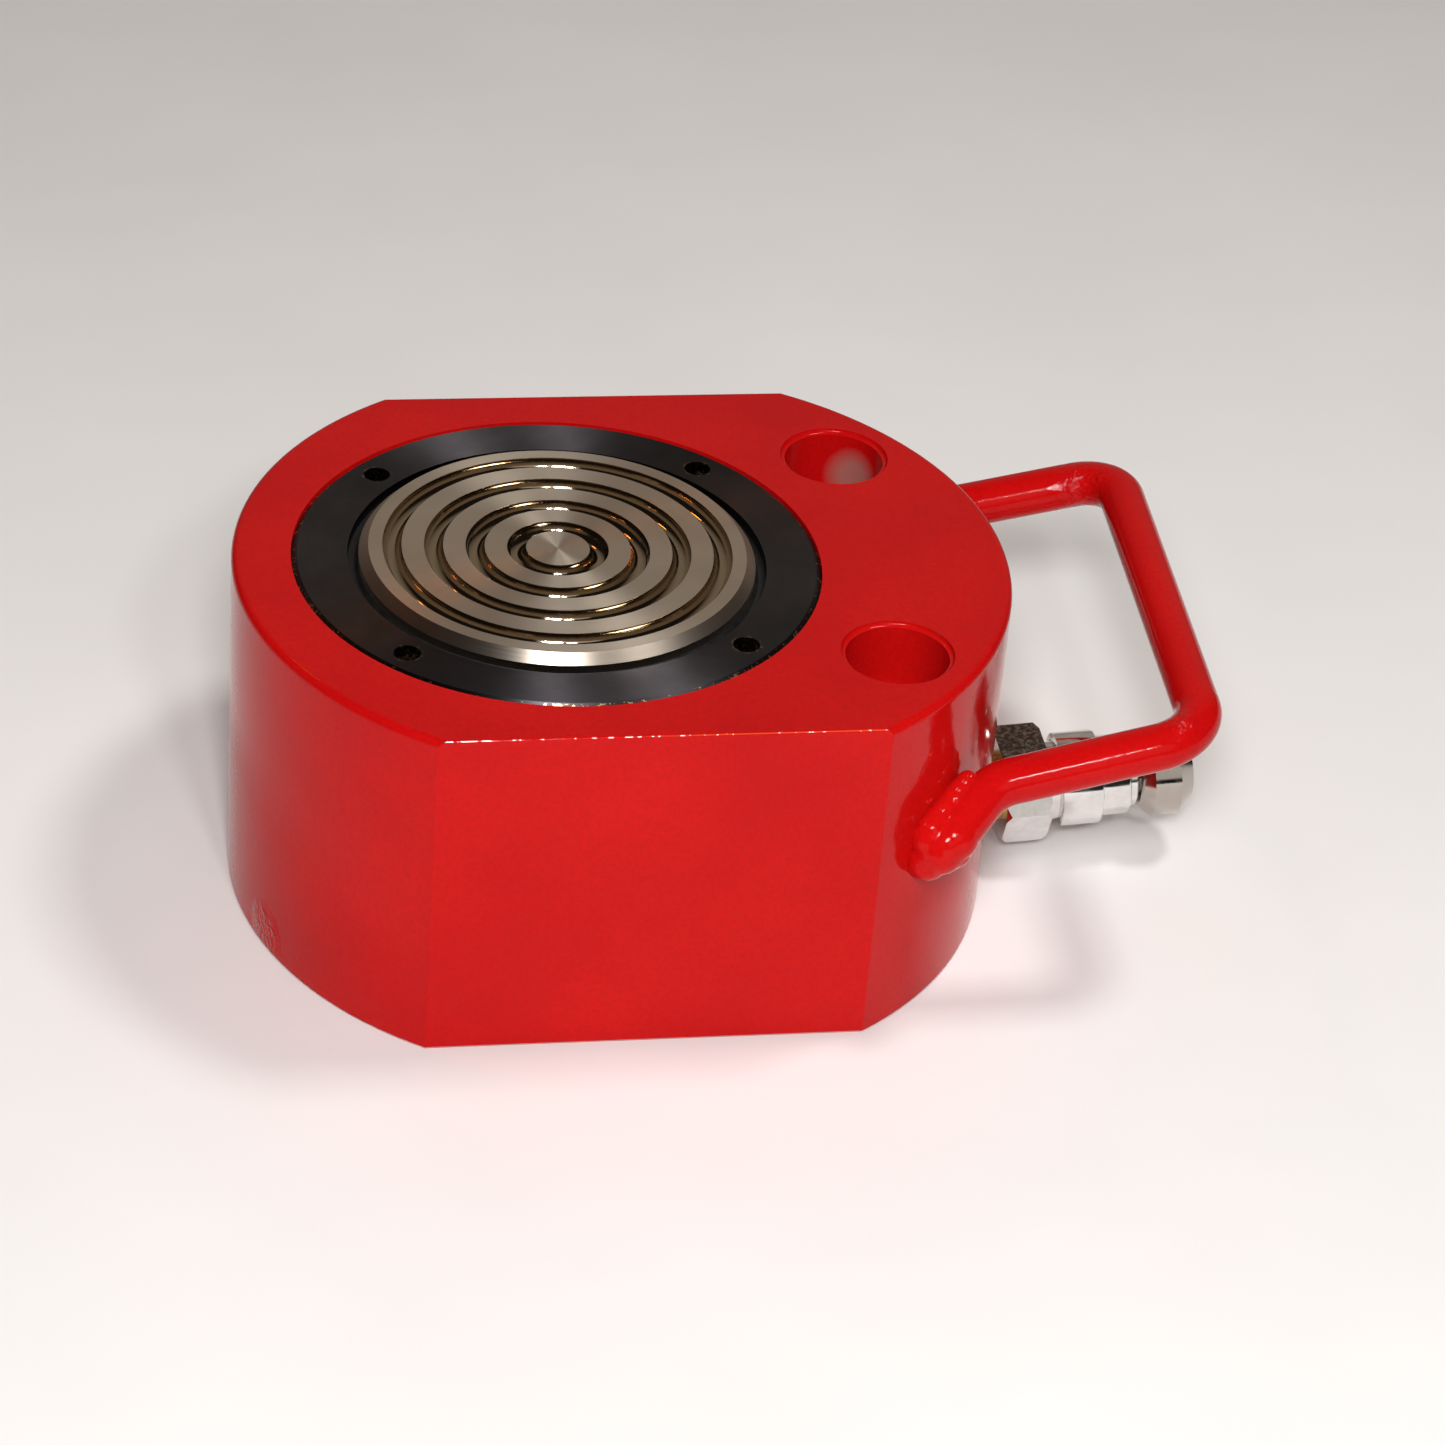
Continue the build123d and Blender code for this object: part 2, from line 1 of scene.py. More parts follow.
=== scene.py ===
# %% [markdown]
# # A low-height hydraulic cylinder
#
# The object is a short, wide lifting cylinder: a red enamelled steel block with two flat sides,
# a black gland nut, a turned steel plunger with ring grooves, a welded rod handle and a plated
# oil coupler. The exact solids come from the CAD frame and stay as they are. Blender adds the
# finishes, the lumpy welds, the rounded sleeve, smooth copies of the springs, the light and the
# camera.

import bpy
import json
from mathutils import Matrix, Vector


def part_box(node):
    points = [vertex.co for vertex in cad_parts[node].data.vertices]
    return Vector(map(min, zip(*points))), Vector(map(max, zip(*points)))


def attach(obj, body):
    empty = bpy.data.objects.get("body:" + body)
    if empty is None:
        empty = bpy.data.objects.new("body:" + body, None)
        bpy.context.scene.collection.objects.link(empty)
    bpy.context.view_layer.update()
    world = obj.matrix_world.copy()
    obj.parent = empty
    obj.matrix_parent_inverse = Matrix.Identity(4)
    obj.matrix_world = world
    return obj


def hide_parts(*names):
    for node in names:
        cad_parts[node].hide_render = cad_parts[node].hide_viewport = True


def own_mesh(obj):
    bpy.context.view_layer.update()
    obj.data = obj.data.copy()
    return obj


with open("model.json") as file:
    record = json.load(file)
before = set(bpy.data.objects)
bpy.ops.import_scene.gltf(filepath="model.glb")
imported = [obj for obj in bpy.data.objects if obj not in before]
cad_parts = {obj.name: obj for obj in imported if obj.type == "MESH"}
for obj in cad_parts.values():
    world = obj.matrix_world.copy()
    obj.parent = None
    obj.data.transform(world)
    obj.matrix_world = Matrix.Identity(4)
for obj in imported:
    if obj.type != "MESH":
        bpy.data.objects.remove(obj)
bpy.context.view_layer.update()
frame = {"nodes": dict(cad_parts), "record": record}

import functools
import json
import math
import random

import bpy
from mathutils import Matrix, Vector

scene = bpy.context.scene
nodes = frame["nodes"]


# %% [markdown]
# ## Sizes
#
# Blender works in metres and a maker thinks in millimetres, so one small helper turns one into
# the other. The places that matter are read from the frame: the block's box, the plunger's box
# and the coupler's, so that a finish or a new piece follows its solid when a size changes.

# %% Millimetres and the places that are used
def mm(*lengths):
    """Millimetres as metres: one number, or a vector of three."""
    return Vector(lengths) / 1000 if len(lengths) == 3 else lengths[0] / 1000


block_low, block_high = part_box("cylinder_body")
block_middle = (block_low + block_high) / 2
flat_y = block_high.y
block_top = block_high.z
plunger_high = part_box("piston")[1]
gland_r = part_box("gland_nut")[1].x
mounts = {mount["name"]: mount for mount in frame["record"]["mounts"]}
spanner_circle_r = mm(mounts["gland_spanner_holes"]["dims"]["pcd_mm"] / 2)
coupler_axis = Vector(mounts["hose_coupling"]["axis"]).normalized()
coupler_mouth = Vector(mounts["hose_coupling"]["pos_m"])
coupler_length = mm(30)
port_mouth = coupler_mouth - coupler_axis * coupler_length
print("block", block_high - block_low, "gland radius", gland_r, "port at", port_mouth)


# %% [markdown]
# ## The camera
#
# The cylinder is seen from the front left and from well above, with a long lens, so its sides
# hardly converge. The camera was held a few degrees off level. Its axes are built from three
# angles, which is easier to reason about than a rotation in three steps: first the direction
# back from the object, then right and up, and then the small roll.

# %% Camera
def direction(azimuth, elevation):
    """Unit vector towards a point seen at an azimuth from the front and at an elevation."""
    a = math.radians(azimuth)
    e = math.radians(elevation)
    return Vector((math.sin(a) * math.cos(e), -math.cos(a) * math.cos(e), math.sin(e)))


camera_azimuth = -11.265
camera_elevation = 33.955
camera_roll = math.radians(4.774)
camera_distance = mm(850.765)
camera_aim = block_middle + mm(19.395, -5.415, 0)
bpy.ops.object.camera_add()
camera = bpy.context.object
camera.name = "camera"
camera.data.lens = 115.95
camera.data.sensor_width = 36
camera.data.clip_start = 0.01
backwards = direction(camera_azimuth, camera_elevation)
level_right = direction(camera_azimuth + 90, 0)
level_up = backwards.cross(level_right)
right = level_right * math.cos(camera_roll) + level_up * math.sin(camera_roll)
up = level_up * math.cos(camera_roll) - level_right * math.sin(camera_roll)
camera_place = Matrix((right, up, backwards)).transposed().to_4x4()
camera_place.translation = camera_aim + backwards * camera_distance
camera.matrix_world = camera_place
scene.camera = camera
print("camera at", camera.location)


# %% [markdown]
# ## The studio
#
# One small softbox near the camera lights the front and keeps the shadow behind the object. A
# smaller one beside it draws the narrow white streaks along the handle's rod. One overhead makes
# the fans of sheen on turned metal, and a dim amber lamp far behind leaves the tiny orange
# glints that a workshop's lamps put into polished grooves. Distances and sizes are in metres.

# %% Lights
def soft_light(name, azimuth, elevation, distance, size, watts, tint=(1, 1, 1)):
    """A square softbox that faces the block's middle."""
    towards = direction(azimuth, elevation)
    bpy.ops.object.light_add(type="AREA", location=block_middle + towards * distance)
    light = bpy.context.object
    light.name = name
    light.rotation_euler = towards.to_track_quat("Z", "Y").to_euler()
    light.data.size = size
    light.data.energy = watts
    light.data.color = tint
    print(name, "at", light.location)


warm_white = (1, 0.97, 0.93)
amber = (1, 0.3, 0.05)
soft_light("front_softbox", -10, 40, distance=1.0, size=0.19, watts=7.6)
soft_light("streak_softbox", 5, 41, distance=1.0, size=0.08, watts=1.4)
soft_light("overhead_softbox", 95, 68, distance=0.9, size=0.16, watts=2.4, tint=warm_white)
soft_light("amber_lamp", 205, 48, distance=1.0, size=0.06, watts=0.2, tint=amber)


# %% [markdown]
# ## Nodes
#
# A material is a small graph. One helper adds a node of any kind, sets it and links it. Its
# inputs are a list, in the order in which the node shows them, or a dictionary by name. Colours
# are written as hex codes, the way a paint maker gives them, and one function makes them linear.

# %% One helper for nodes
def srgb(code, alpha=1.0):
    """A hex colour as the linear numbers that Blender works in."""
    parts = [int(code[i:i + 2], 16) / 255 for i in (1, 3, 5)]
    linear = [p / 12.92 if p <= 0.04045 else ((p + 0.055) / 1.055) ** 2.4 for p in parts]
    return (*linear, alpha)


def add_node(tree, kind, inputs=(), stops=(), **settings):
    """Adds a node with its settings, links, values and colour stops; gives its outputs."""
    node = tree.nodes.new("ShaderNode" + kind)
    for name, value in settings.items():
        setattr(node, name, value)
    filled = inputs if isinstance(inputs, dict) else dict(enumerate(inputs))
    for socket, value in filled.items():
        if isinstance(value, bpy.types.NodeSocket):
            tree.links.new(value, node.inputs[socket])
        else:
            node.inputs[socket].default_value = srgb(value) if isinstance(value, str) else value
    if stops:
        elements = node.color_ramp.elements
        while len(elements) < len(stops):
            elements.new(0.5)
        for element, (position, code) in zip(elements, stops):
            element.position = position
            element.color = srgb(code)
    return node.outputs


# A Mix node keeps a set of sockets for every type of data: these are the ones for colours.
FACTOR, FIRST, SECOND, MIXED = 0, 6, 7, 2
print("mid grey in linear numbers:", srgb("#808080"))


# %% [markdown]
# ## How the finishes are built
#
# Every finish starts from the real material. A pattern's scale comes from a size in
# millimetres: a noise texture repeats about once per unit, so a grain of so many millimetres
# needs one thousand over that size. The patterns read Object coordinates. Each object sits at
# the origin, so these are the frame's own metres, and a mark can be put at an exact place.

# %% Starting and ending a finish
def grain(size):
    """Texture scale for a pattern with features of this size in millimetres."""
    return 1000 / size


def start_finish(name):
    """An empty material: gives it, a helper that adds nodes to it, and Object coordinates."""
    material = bpy.data.materials.new(name)
    material.use_nodes = True
    material.node_tree.nodes.clear()
    add = functools.partial(add_node, material.node_tree)
    return material, add, add("TexCoord")["Object"]


def end_finish(material, add, **sockets):
    """Ends a material with its shader, whose sockets are given with _ for a space."""
    inputs = {name.replace("_", " "): value for name, value in sockets.items()}
    add("OutputMaterial", {"Surface": add("BsdfPrincipled", inputs)["BSDF"]})
    print(material.name, "has", len(material.node_tree.nodes), "nodes")


print("a grain of 1 mm has a scale of", grain(1))


# %% Marks at a place, and rings round the bore
def near(add, place, spot, radius):
    """One at a spot in the frame, falling softly to nothing at a radius in millimetres."""
    distance = add("VectorMath", (place, spot), operation="DISTANCE")["Value"]
    return add("MapRange", (distance, mm(radius * 0.45), mm(radius), 1.0, 0.0))["Result"]


def radius_from_bore(add, place):
    """Distance from the cylinder's axis, which stands on the origin, and the way outwards."""
    outwards = add("VectorMath", (place, (1, 1, 0)), operation="MULTIPLY")["Vector"]
    return add("VectorMath", (outwards,), operation="LENGTH")["Value"], outwards


print("bore on the origin, gland ring out to", gland_r)


# %% [markdown]
# ## The room
#
# The room is drawn on the world. Most of it is dark, because polished metal only looks like
# metal when part of what it mirrors is dark. Two places are pale: a wall behind the table, which
# the flat top faces mirror towards the camera, and a card in front, which the coupler's upright
# faces mirror. How far a direction is from each is a dot product, and a ramp or a range turns
# that into a colour.

# %% The room around
world = bpy.data.worlds.new("dim_workshop")
scene.world = world
world.use_nodes = True
world.node_tree.nodes.clear()
add = functools.partial(add_node, world.node_tree)
outlook = add("TexCoord")["Generated"]
wall_inputs = (outlook, direction(180 + camera_azimuth, 24))
to_wall_behind = add("VectorMath", wall_inputs, operation="DOT_PRODUCT")["Value"]
room_stops = ((0.0, "#1E1B19"), (0.7, "#221F1D"), (0.9, "#847C73"), (1.0, "#988F85"))
room = add("ValToRGB", (to_wall_behind,), room_stops)["Color"]
card_inputs = (outlook, direction(10, 25))
to_front_card = add("VectorMath", card_inputs, operation="DOT_PRODUCT")["Value"]
on_card = add("MapRange", (to_front_card, 0.955, 0.975, 0.0, 1.0))["Result"]
surroundings = add("Mix", {FACTOR: on_card, FIRST: room, SECOND: "#D5D0CA"}, data_type="RGBA")
glow = add("Background", {"Color": surroundings[MIXED], "Strength": 1.0})["Background"]
add("OutputWorld", {"Surface": glow})
scene.view_settings.view_transform = "Standard"
print("room drawn with", len(world.node_tree.nodes), "nodes")


# %% [markdown]
# ## Red enamel
#
# The block, the handle and the welds are sprayed together with a glossy two-part enamel. The
# eye sees a saturated red that is a little uneven in thickness, clear reflections, and a faint
# orange peel under two millimetres across with a few dust nibs in it. The upper edges of the
# flat sides have lost their paint in small dashes, and steel shines through; along their right
# part a light orange band is painted in as the edge's highlight. Thick paint has wrinkled at the
# handle's bends and low on the block's left end, and a grey patch in the rear counterbore is a
# painted reflection. The bore is honed and left bare, so there the finish turns to steel.

# %% Red enamel: an uneven coat
enamel, add, place = start_finish("red_enamel_sprayed")
thickness = add("TexNoise", {"Vector": place, "Scale": grain(34), "Detail": 3})["Fac"]
paint = add("ValToRGB", (thickness,), ((0.3, "#BA0A0C"), (0.7, "#C8100E")))["Color"]
fine = add("TexNoise", {"Vector": place, "Scale": grain(0.8), "Detail": 2})["Fac"]
fleck = add("MapRange", (fine, 0.35, 0.7, 0.0, 0.3))["Result"]
flecked = add("Mix", {FACTOR: fleck, FIRST: paint, SECOND: "#9E070E"}, data_type="RGBA")
print("coat varies over 34 mm and flecks over 0.8 mm")

# %% Red enamel: worn upper edges, and a painted edge highlight
# The edge is where both the flat side and the top are near. Left of the middle it is chipped
# more, and right of it a light orange band is painted along the edge as its highlight.
chip_from, chip_to = mm(0.17), mm(0.28)
x, y, z = add("SeparateXYZ", (place,))
side = add("Math", (y,), operation="ABSOLUTE")["Value"]
from_flat = add("Math", (flat_y, side), operation="SUBTRACT")["Value"]
from_top = add("Math", (block_top, z), operation="SUBTRACT")["Value"]
from_edge = add("Math", (from_flat, from_top), operation="MAXIMUM")["Value"]
on_edge = add("MapRange", (from_edge, chip_from, chip_to, 1.0, 0.0))["Result"]
chip_inputs = {"Vector": place, "Scale": grain(1.5), "Detail": 3, "Roughness": 0.7}
chip_noise = add("TexNoise", chip_inputs)["Fac"]
chip_limit = add("MapRange", (x, mm(-20), mm(-16), 0.45, 0.58))["Result"]
chipped = add("Math", (chip_noise, chip_limit), operation="GREATER_THAN")["Value"]
chips = add("Math", (on_edge, chipped), operation="MULTIPLY")["Value"]
# A light orange band fades in along the right part of the upper edges: a painted highlight on the
# edge.
edge_highlight_fade = add("MapRange", (x, mm(2), mm(24), 0.0, 0.7))["Result"]
edge_highlight = add("Math", (on_edge, edge_highlight_fade), operation="MULTIPLY")["Value"]
edge_highlight_inputs = {FACTOR: edge_highlight, FIRST: flecked[MIXED], SECOND: "#E8562C"}
highlighted_edges = add("Mix", edge_highlight_inputs, data_type="RGBA")
print("edges worn within", chip_to, "m of the edge")

# %% Red enamel: a painted reflection in the rear counterbore, and the bare bore
# A grey patch in the rear counterbore is a painted reflection in its glossy wall.
reflection_spot = Vector((mm(62.4), mm(41.2), block_top - mm(9.2)))
painted_reflection = add("Math", (near(add, place, reflection_spot, 6.6), 0.66), operation="MULTIPLY")["Value"]
reflection_inputs = {FACTOR: painted_reflection, FIRST: highlighted_edges[MIXED], SECOND: "#93786F"}
reflected = add("Mix", reflection_inputs, data_type="RGBA")
reach, _ = radius_from_bore(add, place)
honed = add("Math", (reach, gland_r), operation="LESS_THAN")["Value"]
below_top = add("Math", (from_top, mm(0.1)), operation="GREATER_THAN")["Value"]
above_base = add("Math", (z, mm(2)), operation="GREATER_THAN")["Value"]
inside = add("Math", (below_top, above_base), operation="MULTIPLY")["Value"]
in_bore = add("Math", (honed, inside), operation="MULTIPLY")["Value"]
bare = add("Math", (chips, in_bore), operation="MAXIMUM")["Value"]
bared = add("Mix", {FACTOR: bare, FIRST: reflected[MIXED], SECOND: "#C3BDB4"}, data_type="RGBA")
print("dust at", reflection_spot)

# %% Red enamel: orange peel, nibs and wrinkles
peel = add("TexNoise", {"Vector": place, "Scale": grain(1.7), "Detail": 1})["Fac"]
nibs = add("TexVoronoi", {"Vector": place, "Scale": grain(7)})["Distance"]
nib_height = add("MapRange", (nibs, 0.03, 0.09, 1.0, 0.0))["Result"]
wrinkled = near(add, place, mm(106.5, 39.3, 54.5), 7)
for spot, size in ((mm(-53, -25.5, 4.5), 6), (mm(105.5, -43, 55.5), 4)):
    here = near(add, place, spot, size)
    wrinkled = add("Math", (wrinkled, here), operation="MAXIMUM")["Value"]
wrinkle_inputs = {"Vector": place, "Scale": grain(1.6), "Detail": 2, "Roughness": 0.6}
wrinkles = add("TexNoise", wrinkle_inputs)["Fac"]
wrinkle = add("Math", (wrinkles, wrinkled), operation="MULTIPLY")["Value"]
relief = add("Bump", {"Height": peel, "Distance": mm(0.03)})["Normal"]
relief = add("Bump", {"Height": nib_height, "Distance": mm(0.05), "Normal": relief})["Normal"]
relief = add("Bump", {"Height": wrinkle, "Distance": mm(0.7), "Normal": relief})["Normal"]
smear = add("TexNoise", {"Vector": place, "Scale": grain(14), "Detail": 2})["Fac"]
gloss = add("MapRange", (smear, 0.3, 0.7, 0.07, 0.13))["Result"]
roughness = add("MapRange", (bare, 0, 1, gloss, 0.3))["Result"]
end_finish(
    enamel, add, IOR=1.5, Specular_IOR_Level=0.13, Base_Color=bared[MIXED],
    Metallic=bare, Roughness=roughness, Normal=relief,
)


# %% [markdown]
# ## Blackened steel
#
# The gland nut is turned and then dipped in a hot black oxide bath. The coating is thin, so the
# tool's rings still steer the light: a turned face throws a fan of sheen that points at the
# lamp. That is anisotropy, with its direction running outwards from the axis. Handling and the
# pin spanner wear the outer bevel and the four holes back to steel in tiny spots.

# %% Black oxide on turned steel
oxide, add, place = start_finish("black_oxide_turned")
reach, outwards = radius_from_bore(add, place)
ring_place = add("CombineXYZ", (reach,))["Vector"]
ring_inputs = {"Vector": ring_place, "Scale": grain(0.35), "Detail": 3, "Roughness": 0.7}
rings = add("TexNoise", ring_inputs)["Fac"]
blotch_inputs = {"Vector": place, "Scale": grain(9), "Detail": 4, "Roughness": 0.6}
blotch = add("TexNoise", blotch_inputs)["Fac"]
black = add("ValToRGB", (blotch,), ((0.3, "#4B484B"), (0.7, "#5B575B")))["Color"]
ring_mark = add("MapRange", (rings, 0.35, 0.65, 0.0, 0.35))["Result"]
ringed = add("Mix", {FACTOR: ring_mark, FIRST: black, SECOND: "#3D3B3E"}, data_type="RGBA")
print("rings every 0.35 mm")

# %% Black oxide: where it is worn through
bevel_width = mm(0.9)
bevel_start = gland_r - bevel_width
on_bevel = add("MapRange", (reach, bevel_start, bevel_start + mm(0.1), 0.0, 1.0))["Result"]
quarter = add("VectorMath", (outwards,), operation="ABSOLUTE")["Vector"]
hole_middle = Vector((1, 1, 0)).normalized() * spanner_circle_r
in_hole = near(add, quarter, hole_middle, 3.1)
handled = add("Math", (on_bevel, in_hole), operation="MAXIMUM")["Value"]
wear_limit = add("MapRange", (in_hole, 0, 1, 0.6, 0.47))["Result"]
wear_inputs = {"Vector": place, "Scale": grain(1.0), "Detail": 3, "Roughness": 0.7}
wear_noise = add("TexNoise", wear_inputs)["Fac"]
worn = add("Math", (wear_noise, wear_limit), operation="GREATER_THAN")["Value"]
bright = add("Math", (handled, worn), operation="MULTIPLY")["Value"]
tone = add("Mix", {FACTOR: bright, FIRST: ringed[MIXED], SECOND: "#E6CF9E"}, data_type="RGBA")
relief = add("Bump", {"Height": rings, "Distance": mm(0.004)})["Normal"]
end_finish(
    oxide, add, Metallic=1.0, Roughness=0.42, Anisotropic=0.95,
    Base_Color=tone[MIXED], Normal=relief, Tangent=outwards,
)


# %% [markdown]
# ## Turned steel
#
# The plunger is hard steel, turned on a lathe. Its flat lands keep the fine rings of the tool
# and look satin and warm grey, with a fan of sheen. The grooves between them were cut with a
# round tool and polish like a mirror, and their colour is painted browner and darker towards
# the groove floor as painted shade, so they go from near black to white. One finish does both:
# on the plane of the lands and on the bevelled rim it is satin, and in the grooves it is bright.

# %% Turned steel: lands, rim and grooves
turned, add, place = start_finish("turned_hard_steel")
reach, outwards = radius_from_bore(add, place)
height = add("SeparateXYZ", (place,))["Z"]
flange_beyond_rim = mm(13)  # the flange inside the block is this much wider than the rim's start
rim_start = plunger_high.x - flange_beyond_rim
land_plane = plunger_high.z - mm(0.05)
groove_floor, groove_shoulder = plunger_high.z - mm(2.3), plunger_high.z - mm(0.7)
on_top = add("Math", (height, land_plane), operation="GREATER_THAN")["Value"]
on_rim = add("Math", (reach, rim_start), operation="GREATER_THAN")["Value"]
on_land = add("Math", (on_top, on_rim), operation="MAXIMUM")["Value"]
lift_in_groove = add("MapRange", (height, groove_floor, groove_shoulder, 0.0, 1.0))["Result"]
print("rim starts at a radius of", rim_start)

# %% Turned steel: tool rings, and painted shade in the grooves
ring_place = add("CombineXYZ", (reach,))["Vector"]
ring_inputs = {"Vector": ring_place, "Scale": grain(0.3), "Detail": 3, "Roughness": 0.75}
rings = add("TexNoise", ring_inputs)["Fac"]
tool_marks = add("Math", (rings, on_land), operation="MULTIPLY")["Value"]
clouds = add("TexNoise", {"Vector": place, "Scale": grain(11), "Detail": 3})["Fac"]
steel = add("ValToRGB", (clouds,), ((0.3, "#D0C3B3"), (0.7, "#DED1C2")))["Color"]
# The grooves' colour turns browner and darker towards their floor: painted shade.
groove_shade_inputs = {FACTOR: lift_in_groove, FIRST: "#A8977F", SECOND: "#CDBCA6"}
shaded_grooves = add("Mix", groove_shade_inputs, data_type="RGBA")
tone = add("Mix", {FACTOR: on_land, FIRST: shaded_grooves[MIXED], SECOND: steel}, data_type="RGBA")
satin = add("MapRange", (rings, 0.3, 0.7, 0.3, 0.42))["Result"]
roughness = add("MapRange", (on_land, 0, 1, 0.09, satin))["Result"]
relief = add("Bump", {"Height": tool_marks, "Distance": mm(0.006)})["Normal"]
end_finish(
    turned, add, Metallic=1.0, Anisotropic=0.8,
    Base_Color=tone[MIXED], Roughness=roughness, Normal=relief, Tangent=outwards,
)


# %% [markdown]
# ## Bright nickel
#
# The coupler is steel with bright nickel plate. It mirrors the floor almost white and the dark
# room almost black. The plate is very smooth, with small handling marks. The hexagon's upper
# flat is painted dark olive with bright specks, a painted reflection of the dark room. The plug
# at the end is handled most, and its plate has gone dull and tan.

# %% Bright nickel: plate, and a painted dark reflection on the top flat
nickel, add, place = start_finish("bright_nickel_plate")
mark_inputs = {"Vector": place, "Scale": grain(2.5), "Detail": 4, "Roughness": 0.65}
marks = add("TexNoise", mark_inputs)["Fac"]
plate = add("ValToRGB", (marks,), ((0.35, "#E2E0DE"), (0.7, "#F2F1EF")))["Color"]
from_port = add("VectorMath", (place, port_mouth), operation="SUBTRACT")["Vector"]
coupler_side = coupler_axis.cross(Vector((0, 1, 0)))
coupler_up = -coupler_side if coupler_side.z < 0 else coupler_side
lift = add("VectorMath", (from_port, coupler_up), operation="DOT_PRODUCT")["Value"]
on_top_flat = add("MapRange", (lift, mm(8.9), mm(9.3), 0.0, 1.0))["Result"]
# The hexagon's upper flat gets dark olive with bright specks: a painted reflection of the dark
# room.
top_reflection_inputs = {"Vector": place, "Scale": grain(0.9), "Detail": 3, "Roughness": 0.7}
top_reflection_noise = add("TexNoise", top_reflection_inputs)["Fac"]
painted_top_reflection = add("ValToRGB", (top_reflection_noise,), ((0.45, "#4B463C"), (0.72, "#A7A193")))["Color"]
print("up from the coupler's axis is", coupler_up)

# %% Bright nickel: the dull plug
plug_from, plug_to = coupler_length - mm(0.5), coupler_length + mm(0.5)
along = add("VectorMath", (from_port, coupler_axis), operation="DOT_PRODUCT")["Value"]
on_plug = add("MapRange", (along, plug_from, plug_to, 0.0, 0.75))["Result"]
dulled = add("Mix", {FACTOR: on_plug, FIRST: plate, SECOND: "#A79C90"}, data_type="RGBA")
tone_inputs = {FACTOR: on_top_flat, FIRST: dulled[MIXED], SECOND: painted_top_reflection}
tone = add("Mix", tone_inputs, data_type="RGBA")
polish = add("MapRange", (marks, 0.35, 0.7, 0.07, 0.16))["Result"]
roughness = add("MapRange", (on_top_flat, 0, 1, polish, 0.5))["Result"]
pits = add("TexNoise", {"Vector": place, "Scale": grain(0.8), "Detail": 2})["Fac"]
relief = add("Bump", {"Height": pits, "Distance": mm(0.004)})["Normal"]
end_finish(nickel, add, Metallic=1.0, Base_Color=tone[MIXED], Roughness=roughness, Normal=relief)


# %% [markdown]
# ## The smaller parts
#
# Springs, seals and guide rings are mostly out of sight, but the lift of the plunger shows some
# of them. Each still gets its own material: drawn spring wire, zinc plate passivated yellow,
# sintered bronze, and three polymers. They share one build, a cloudy tone and polish over a fine
# skin, because within a family only colours and sizes differ.

# %% Cloudy finishes for small parts
def cloudy_finish(name, dark, light, rough, clouds, skin, **sockets):
    """A tone and polish that change in clouds; skin is the relief's (grain, depth) in mm."""
    material, add, place = start_finish(name)
    cloud = add("TexNoise", {"Vector": place, **clouds})["Fac"]
    tone = add("ValToRGB", (cloud,), ((0.3, dark), (0.7, light)))["Color"]
    roughness = add("MapRange", (cloud, 0.3, 0.7, *rough))["Result"]
    skin_grain, skin_depth = skin
    pits = add("TexNoise", {"Vector": place, "Scale": grain(skin_grain), "Detail": 2})["Fac"]
    relief = add("Bump", {"Height": pits, "Distance": mm(skin_depth)})["Normal"]
    end_finish(material, add, Base_Color=tone, Roughness=roughness, Normal=relief, **sockets)
    return material


# %% Small metals
def small_metal(name, dark, light, cloud_size, rough, skin_depth):
    """A plated, drawn or sintered metal."""
    clouds = {"Scale": grain(cloud_size), "Detail": 4, "Roughness": 0.6}
    return cloudy_finish(name, dark, light, rough, clouds, (0.5, skin_depth), Metallic=1.0)


wire = small_metal("drawn_spring_wire", "#8C8E92", "#A8A9AB", 3, (0.22, 0.35), 0.004)
zinc = small_metal("yellow_passivated_zinc", "#C79A45", "#E0C074", 1.6, (0.2, 0.32), 0.004)
bronze = small_metal("sintered_bronze", "#8A6238", "#B08248", 1.2, (0.35, 0.5), 0.01)


# %% Small plastics and rubber
def moulded(name, dark, light, cloud_size, rough, skin_depth, ior):
    """A moulded polymer with a soft skin."""
    clouds = {"Scale": grain(cloud_size), "Detail": 3}
    return cloudy_finish(name, dark, light, rough, clouds, (0.4, skin_depth), IOR=ior)


nitrile = moulded("nitrile_rubber", "#0B0A0A", "#131110", 2.0, (0.5, 0.65), 0.01, 1.45)
urethane = moulded("polyurethane", "#3F5E7C", "#4B6C8C", 4.0, (0.3, 0.42), 0.005, 1.5)
nylon = moulded("cast_nylon", "#D9D2C0", "#E6E0D0", 4.0, (0.35, 0.5), 0.006, 1.53)


# %% [markdown]
# ## Which solid gets which finish
#
# The record gives every solid a material slot. The finishes are handed out by slot, so a solid
# can't be forgotten: a missing name stops the script here.

# %% Hand out the finishes
finish_for_slot = {
    "red_enamel": enamel,
    "blackened_steel": oxide,
    "turned_steel": turned,
    "nickel_plate": nickel,
    "yellow_zinc": zinc,
    "spring_steel": wire,
    "bronze": bronze,
    "nitrile_rubber": nitrile,
    "polyurethane": urethane,
    "nylon": nylon,
}


def give_finish(piece, material):
    """Makes this the piece's only material."""
    piece.data.materials.clear()
    piece.data.materials.append(material)


for part in frame["record"]["subparts"]:
    give_finish(nodes[part["node"]], finish_for_slot[part["material_slot"]])


# %% [markdown]
# ## Welds at the handle's feet
#
# Each foot of the handle is stick-welded to the wall. The filler went on in overlapping drops,
# so a real weld is lumpy, with a few specks of spatter beside it, and paint rounds it all off.
# Drops are placed one by one along the foot, joined, and remeshed into one skin: that gives the
# soft valleys that a swept or filleted solid doesn't have.

# %% Tools for making pieces
def clear_selection():
    """Leaves nothing selected, because an operator acts on all that is."""
    bpy.ops.object.select_all(action="DESELECT")


def select_only(piece):
    """Makes a piece the only one that an operator acts on."""
    clear_selection()
    piece.select_set(True)
    bpy.context.view_layer.objects.active = piece


